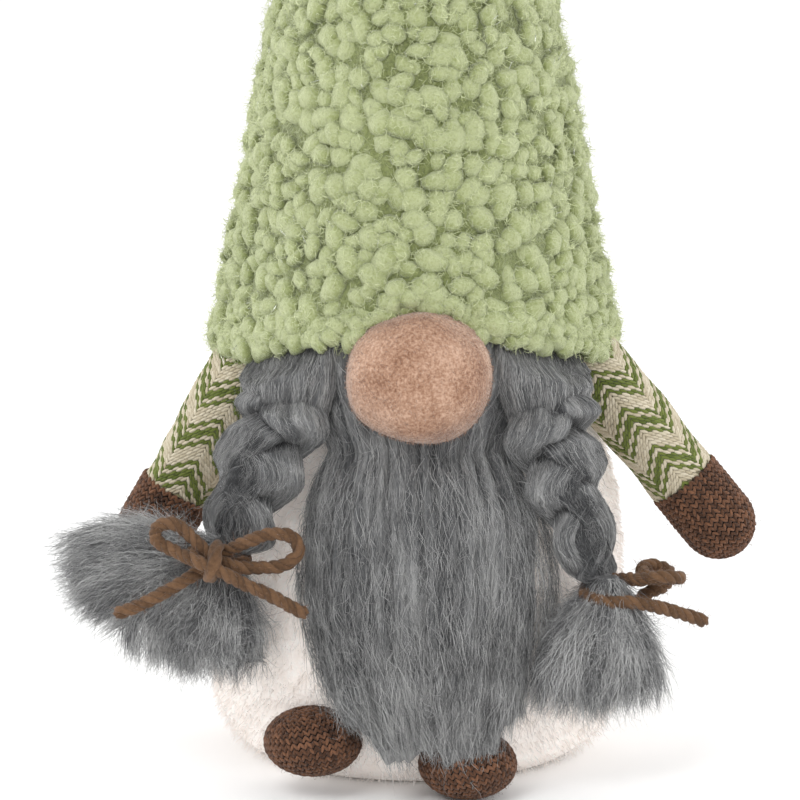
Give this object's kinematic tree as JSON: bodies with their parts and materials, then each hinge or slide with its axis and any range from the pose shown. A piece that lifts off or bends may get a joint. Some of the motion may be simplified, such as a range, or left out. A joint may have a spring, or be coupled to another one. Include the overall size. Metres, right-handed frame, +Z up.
{
  "type": "tomte gnome figurine",
  "caption": "Standing plush gnome with a tall pile cone hat over the eyes, a ball nose, long wool beard, two plaits tied with yarn bows, soft arms and small feet.",
  "frame": {"origin": "middle of the underside of the base panel, on the surface that the figurine stands on", "axes": "+Z up along the body and hat, -Y is the gnome's front, +X is the viewer's right when facing it"},
  "size_m": [0.2048, 0.146, 0.45],
  "materials": {
    "plush": "cream-white short-pile plush, soft and matt",
    "sherpa": "pistachio boucle pile in irregular nubs, matt, a few silver tinsel threads",
    "velour": "tan short-nap velour, matt with a faint sheen at the edges",
    "wool": "slate-grey wool roving with lighter and darker fibres, matt",
    "yarn": "brown twisted yarn, matt",
    "woven": "cream cloth with olive woven chevron bands, matt",
    "knit": "dark brown plain knit, matt",
    "fibrefill": "white polyester fibrefill, hidden",
    "card": "stiff board disc, hidden",
    "pellets": "bag of plastic pellets, hidden",
    "thread": "sewing thread, hidden"
  },
  "bodies": {
    "root": {"base_panel": "plush", "base_card": "card", "pellet_bag": "pellets", "body_cover": "plush", "body_stuffing": "fibrefill", "hat_cover": "sherpa", "hat_stuffing": "fibrefill", "nose_cover": "velour", "nose_stuffing": "fibrefill", "nose_gather_thread": "thread", "left_foot_cover": "knit", "left_foot_stuffing": "fibrefill", "right_foot_cover": "knit", "right_foot_stuffing": "fibrefill"},
    "beard": {"beard": "wool"},
    "left_arm": {"left_sleeve": "woven", "left_mitten": "knit", "left_arm_stuffing": "fibrefill"},
    "left_plait": {"left_braid_strand_1": "wool", "left_braid_strand_2": "wool", "left_braid_strand_3": "wool", "left_tassel": "wool", "left_bow_yarn": "yarn"},
    "right_arm": {"right_sleeve": "woven", "right_mitten": "knit", "right_arm_stuffing": "fibrefill"},
    "right_plait": {"right_braid_strand_1": "wool", "right_braid_strand_2": "wool", "right_braid_strand_3": "wool", "right_tassel": "wool", "right_bow_yarn": "yarn"}
  },
  "joints": [
    {"name": "left_shoulder", "type": "hinge", "parent": "root", "child": "left_arm", "pos_m": [-0.06113, -0.014, 0.12058], "axis": [0, 1, 0], "range_deg": [0, 50]},
    {"name": "right_shoulder", "type": "hinge", "parent": "root", "child": "right_arm", "pos_m": [0.0649, -0.014, 0.12055], "axis": [0, -1, 0], "range_deg": [0, 40]},
    {"name": "left_plait_swing", "type": "hinge", "parent": "root", "child": "left_plait", "pos_m": [-0.0365, -0.047, 0.122], "axis": [-1, 0, 0], "range_deg": [0, 40]},
    {"name": "right_plait_swing", "type": "hinge", "parent": "root", "child": "right_plait", "pos_m": [0.0375, -0.047, 0.122], "axis": [-1, 0, 0], "range_deg": [0, 40]},
    {"name": "beard_lift", "type": "hinge", "parent": "root", "child": "beard", "pos_m": [0, -0.05564, 0.1015], "axis": [-1, 0, 0], "range_deg": [0, 30]}
  ]
}
